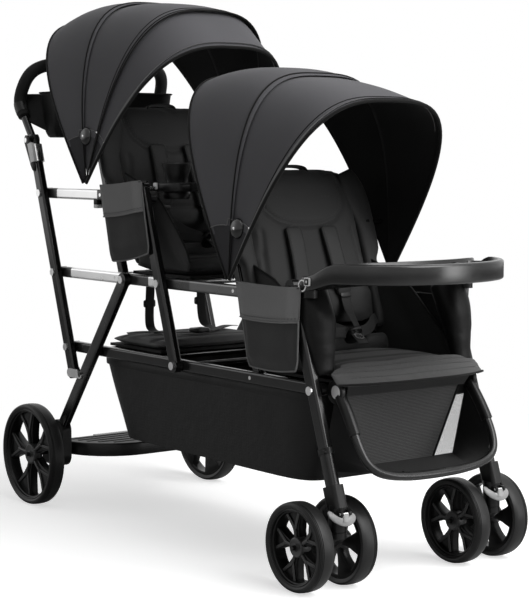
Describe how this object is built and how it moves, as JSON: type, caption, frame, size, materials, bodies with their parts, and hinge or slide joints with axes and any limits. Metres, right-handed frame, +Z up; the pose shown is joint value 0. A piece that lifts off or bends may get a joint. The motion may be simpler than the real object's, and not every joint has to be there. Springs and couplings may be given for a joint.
{
  "type": "triple stroller",
  "caption": "Folding stroller with a front seat, a raised middle seat, a rear bench over a standing platform, hooded canopies, trays, basket and swivelling front wheels.",
  "frame": {"origin": "on the ground, half way along and across the stroller", "axes": "+X to the front, +Y to the stroller's left, +Z up"},
  "size_m": [1.3496, 0.538, 1.172],
  "materials": {
    "frame": "gloss black",
    "metal": "satin",
    "grip": "foam",
    "moulding": "satin",
    "grey_moulding": "satin",
    "tray": "satin",
    "wheel": "matt",
    "seat_cloth": "woven",
    "canopy_cloth": "woven",
    "nylon": "smooth",
    "webbing": "woven",
    "pocket_cloth": "woven",
    "mesh": "open mesh"
  },
  "bodies": {
    "base": {"base_frame": "frame", "base_bolts": "metal", "basket": "nylon", "bench_board": "moulding", "bench_pad": "seat_cloth", "bench_straps": "webbing", "front_seat_board": "moulding", "front_seat_pad": "seat_cloth", "bumper_bar": "moulding", "bumper_hubs": "grey_moulding", "footwell_mesh": "mesh"},
    "mid_leg_pair": {"mid_legs": "frame"},
    "deck": {"deck_frame": "frame", "deck_bolts": "metal", "middle_seat_board": "moulding", "middle_seat_pad": "seat_cloth", "front_pockets": "pocket_cloth"},
    "upper_rail_pair": {"upper_rails": "frame", "upper_bolts": "metal", "middle_pockets": "pocket_cloth"},
    "handle": {"handle_tubes": "frame", "handle_grip": "grip", "handle_collars": "metal", "organizer": "nylon"},
    "lever_pair": {"fold_levers": "moulding"},
    "hook_pair": {"fold_hooks": "metal"},
    "front_leg_pair": {"front_legs": "frame", "leg_sockets": "moulding", "front_armrests": "moulding"},
    "caster_right": {"caster_fork_right": "moulding"},
    "caster_left": {"caster_fork_left": "moulding"},
    "lock_right": {"swivel_lock_right": "grey_moulding"},
    "lock_left": {"swivel_lock_left": "grey_moulding"},
    "front_wheel_a": {"front_wheel_outer_right": "wheel"},
    "front_wheel_b": {"front_wheel_inner_right": "wheel"},
    "front_wheel_c": {"front_wheel_inner_left": "wheel"},
    "front_wheel_d": {"front_wheel_outer_left": "wheel"},
    "rear_wheel_a": {"rear_wheel_right": "wheel"},
    "rear_wheel_b": {"rear_wheel_left": "wheel"},
    "rear_leg_pair": {"rear_legs": "frame", "wheel_brackets": "moulding", "platform": "moulding"},
    "brake": {"brake_bar": "moulding"},
    "front_back": {"front_back_tubes": "frame", "front_canopy_rear": "canopy_cloth"},
    "front_hood": {"front_canopy_hood": "canopy_cloth"},
    "front_backrest": {"front_backrest_board": "moulding", "front_backrest_pad": "seat_cloth", "front_harness": "webbing"},
    "middle_back": {"middle_back_tubes": "frame", "middle_canopy_rear": "canopy_cloth"},
    "middle_hood": {"middle_canopy_hood": "canopy_cloth"},
    "middle_visor": {"middle_canopy_visor": "canopy_cloth"},
    "middle_backrest": {"middle_backrest_board": "moulding", "middle_backrest_pad": "seat_cloth", "middle_harness": "webbing"},
    "front_tray": {"front_tray": "tray"},
    "button_right": {"tray_button_right": "moulding"},
    "button_left": {"tray_button_left": "moulding"},
    "middle_tray": {"middle_tray": "tray"}
  },
  "joints": [
    {"name": "fold", "type": "hinge", "parent": "base", "child": "mid_leg_pair", "pos_m": [0.011, 0, 0.375], "axis": [0, 1, 0], "range_deg": [0, 75], "deforming": ["basket", "bench_straps", "organizer", "front_canopy_rear", "front_canopy_hood", "middle_canopy_rear", "middle_canopy_hood", "middle_canopy_visor", "front_seat_pad", "front_backrest_pad", "front_harness", "middle_seat_pad", "middle_backrest_pad", "middle_harness", "front_pockets", "middle_pockets", "footwell_mesh"]},
    {"name": "deck_pivot", "type": "hinge", "parent": "mid_leg_pair", "child": "deck", "pos_m": [-0.04588, 0, 0.545], "axis": [0, 1, 0], "range_deg": [-75, 0]},
    {"name": "upper_rail_pivot", "type": "hinge", "parent": "mid_leg_pair", "child": "upper_rail_pair", "pos_m": [-0.10678, 0, 0.727], "axis": [0, 1, 0], "range_deg": [-75, 0]},
    {"name": "handle_pivot", "type": "hinge", "parent": "base", "child": "handle", "pos_m": [-0.431, 0, 0.375], "axis": [0, 1, 0], "range_deg": [0, 75]},
    {"name": "front_leg_pivot", "type": "hinge", "parent": "base", "child": "front_leg_pair", "pos_m": [0.48, 0, 0.375], "axis": [0, 1, 0], "range_deg": [0, 75]},
    {"name": "front_back_pivot", "type": "hinge", "parent": "base", "child": "front_back", "pos_m": [0.261, 0, 0.375], "axis": [0, 1, 0], "range_deg": [0, 75]},
    {"name": "middle_back_pivot", "type": "hinge", "parent": "deck", "child": "middle_back", "pos_m": [-0.24688, 0, 0.545], "axis": [0, 1, 0], "range_deg": [0, 75]},
    {"name": "rear_leg_pivot", "type": "hinge", "parent": "deck", "child": "rear_leg_pair", "pos_m": [-0.189, 0, 0.545], "axis": [0, 1, 0], "range_deg": [0, 22.5]},
    {"name": "fold_lever", "type": "hinge", "parent": "handle", "child": "lever_pair", "pos_m": [-0.58993, 0, 0.85], "axis": [0, 1, 0], "range_deg": [0, 18], "stiffness_Nm_per_rad": 2},
    {"name": "hook_release", "type": "hinge", "parent": "handle", "child": "hook_pair", "pos_m": [-0.41193, 0, 0.318], "axis": [0, 1, 0], "range_deg": [0, 22]},
    {"name": "caster_right", "type": "hinge", "parent": "front_leg_pair", "child": "caster_right", "pos_m": [0.55, -0.198, 0.1], "axis": [0, 0, 1], "continuous": true},
    {"name": "swivel_lock_right", "type": "hinge", "parent": "front_leg_pair", "child": "lock_right", "pos_m": [0.5725, -0.198, 0.155], "axis": [0, 1, 0], "range_deg": [-25, 0]},
    {"name": "caster_left", "type": "hinge", "parent": "front_leg_pair", "child": "caster_left", "pos_m": [0.55, 0.198, 0.1], "axis": [0, 0, 1], "continuous": true},
    {"name": "swivel_lock_left", "type": "hinge", "parent": "front_leg_pair", "child": "lock_left", "pos_m": [0.5725, 0.198, 0.155], "axis": [0, 1, 0], "range_deg": [-25, 0]},
    {"name": "front_wheel_a_spin", "type": "hinge", "parent": "caster_right", "child": "front_wheel_a", "pos_m": [0.501, -0.25, 0.086], "axis": [0, 1, 0], "continuous": true},
    {"name": "front_wheel_b_spin", "type": "hinge", "parent": "caster_right", "child": "front_wheel_b", "pos_m": [0.501, -0.146, 0.086], "axis": [0, 1, 0], "continuous": true},
    {"name": "front_wheel_c_spin", "type": "hinge", "parent": "caster_left", "child": "front_wheel_c", "pos_m": [0.501, 0.146, 0.086], "axis": [0, 1, 0], "continuous": true},
    {"name": "front_wheel_d_spin", "type": "hinge", "parent": "caster_left", "child": "front_wheel_d", "pos_m": [0.501, 0.25, 0.086], "axis": [0, 1, 0], "continuous": true},
    {"name": "rear_wheel_a_spin", "type": "hinge", "parent": "rear_leg_pair", "child": "rear_wheel_a", "pos_m": [-0.519, -0.25, 0.118], "axis": [0, 1, 0], "continuous": true},
    {"name": "rear_wheel_b_spin", "type": "hinge", "parent": "rear_leg_pair", "child": "rear_wheel_b", "pos_m": [-0.519, 0.25, 0.118], "axis": [0, 1, 0], "continuous": true},
    {"name": "brake_press", "type": "hinge", "parent": "rear_leg_pair", "child": "brake", "pos_m": [-0.549, 0, 0.132], "axis": [0, 1, 0], "range_deg": [-18, 0]},
    {"name": "front_hood_fold", "type": "hinge", "parent": "front_back", "child": "front_hood", "pos_m": [0.21943, 0, 0.565], "axis": [0, 1, 0], "range_deg": [-52, 0]},
    {"name": "middle_hood_fold", "type": "hinge", "parent": "middle_back", "child": "middle_hood", "pos_m": [-0.33114, 0, 0.749], "axis": [0, 1, 0], "range_deg": [-40, 0]},
    {"name": "middle_visor_fold", "type": "hinge", "parent": "middle_hood", "child": "middle_visor", "pos_m": [-0.33114, 0, 0.749], "axis": [0, 1, 0], "range_deg": [-24, 0]},
    {"name": "front_recline", "type": "hinge", "parent": "front_back", "child": "front_backrest", "pos_m": [0.23892, 0, 0.441], "axis": [0, 1, 0], "range_deg": [-15, 0]},
    {"name": "middle_recline", "type": "hinge", "parent": "middle_back", "child": "middle_backrest", "pos_m": [-0.26896, 0, 0.611], "axis": [0, 1, 0], "range_deg": [-15, 0]},
    {"name": "front_tray_swing", "type": "hinge", "parent": "front_leg_pair", "child": "front_tray", "pos_m": [0.469, 0.2, 0.561], "axis": [0, 0, 1], "range_deg": [0, 100]},
    {"name": "tray_button_right", "type": "slide", "parent": "front_tray", "child": "button_right", "axis": [0, 1, 0], "range_m": [0, 0.003], "stiffness_N_per_m": 300},
    {"name": "tray_button_left", "type": "slide", "parent": "front_tray", "child": "button_left", "axis": [0, -1, 0], "range_m": [0, 0.003], "stiffness_N_per_m": 300},
    {"name": "middle_tray_tilt", "type": "hinge", "parent": "mid_leg_pair", "child": "middle_tray", "pos_m": [-0.11347, 0, 0.747], "axis": [0, 1, 0], "range_deg": [-80, 0]}
  ],
  "couplings": [
    {"joint": "deck_pivot", "follows": "fold", "ratio": -1},
    {"joint": "upper_rail_pivot", "follows": "fold", "ratio": -1},
    {"joint": "handle_pivot", "follows": "fold", "ratio": 1},
    {"joint": "front_leg_pivot", "follows": "fold", "ratio": 1},
    {"joint": "front_back_pivot", "follows": "fold", "ratio": 1},
    {"joint": "middle_back_pivot", "follows": "fold", "ratio": 1},
    {"joint": "rear_leg_pivot", "follows": "fold", "ratio": 0.3},
    {"joint": "hook_release", "follows": "fold_lever", "ratio": 1.2}
  ]
}
